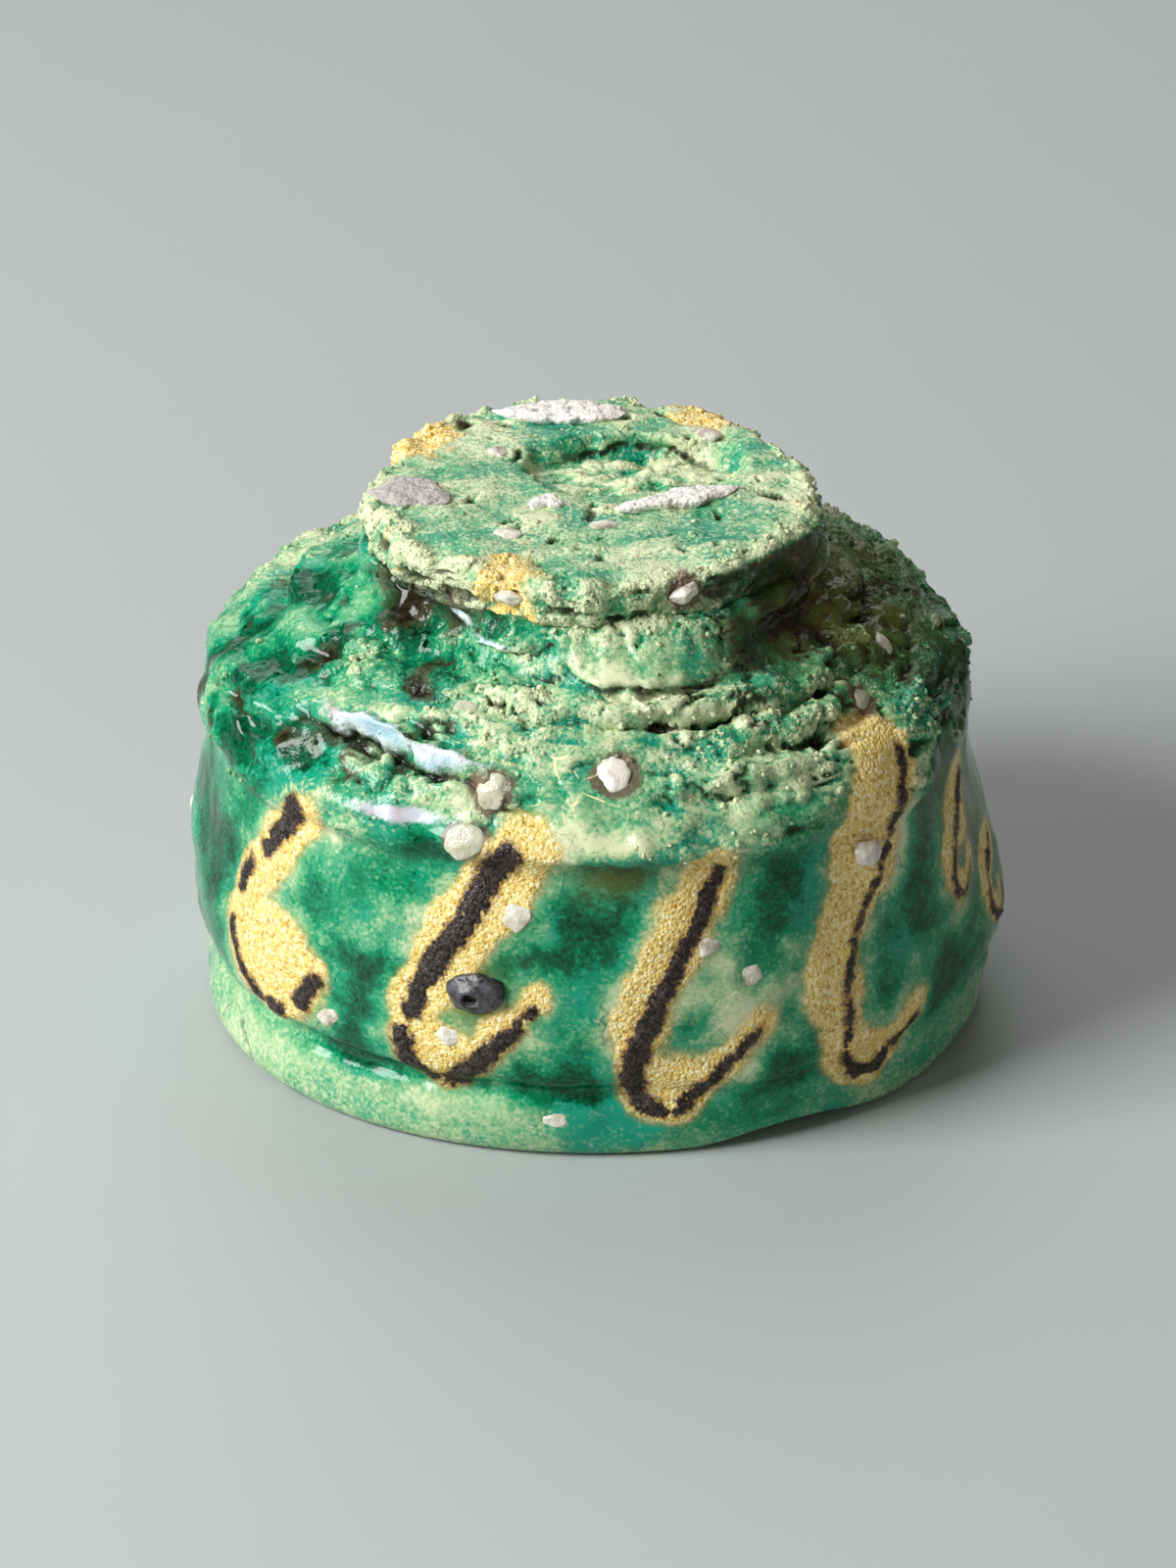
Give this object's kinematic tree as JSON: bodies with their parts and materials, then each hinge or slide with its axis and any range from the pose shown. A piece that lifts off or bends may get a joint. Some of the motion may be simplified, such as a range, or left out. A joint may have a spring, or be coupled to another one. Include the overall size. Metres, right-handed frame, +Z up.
{
  "type": "sake cup",
  "caption": "Small hand-built stoneware drinking cup, lying mouth down on its rim, with a luted foot, stones bedded in the clay and wad clay left on the foot.",
  "frame": {"origin": "middle of the resting plane of the rim, under the centre of the cup's box", "axes": "+Z up, from the rim to the foot, as the cup lies mouth down; the front of the picture faces -Y; +X is to the right"},
  "size_m": [0.0697, 0.0637, 0.0477],
  "materials": {
    "green_glaze": "gloss",
    "feldspar": "satin",
    "kiln_wad": "matte",
    "iron": "gloss"
  },
  "bodies": {
    "root": {"cup_wall": "green_glaze", "foot_ring": "green_glaze", "iron_bead": "iron", "kiln_wad_front": "kiln_wad", "kiln_wad_left": "kiln_wad", "kiln_wad_rear": "kiln_wad", "kiln_wad_small": "kiln_wad", "stone_belly_front": "feldspar", "stone_belly_upper": "feldspar", "stone_face_front": "feldspar", "stone_face_left": "feldspar", "stone_face_middle": "feldspar", "stone_face_rear": "feldspar", "stone_gold_patch": "feldspar", "stone_gouge": "feldspar", "stone_hook": "feldspar", "stone_ledge_high": "feldspar", "stone_ledge_low": "feldspar", "stone_left_edge": "feldspar", "stone_rear_belly": "feldspar", "stone_rear_left": "feldspar", "stone_rear_low": "feldspar", "stone_rear_shoulder": "feldspar", "stone_rear_waist": "feldspar", "stone_right_belly": "feldspar", "stone_rim_front": "feldspar", "stone_rim_left": "feldspar", "stone_shoulder_front": "feldspar", "stone_shoulder_low": "feldspar", "stone_shoulder_right": "feldspar", "stone_side_left": "feldspar", "stone_side_right": "feldspar", "stone_stroke": "feldspar"}
  },
  "joints": []
}
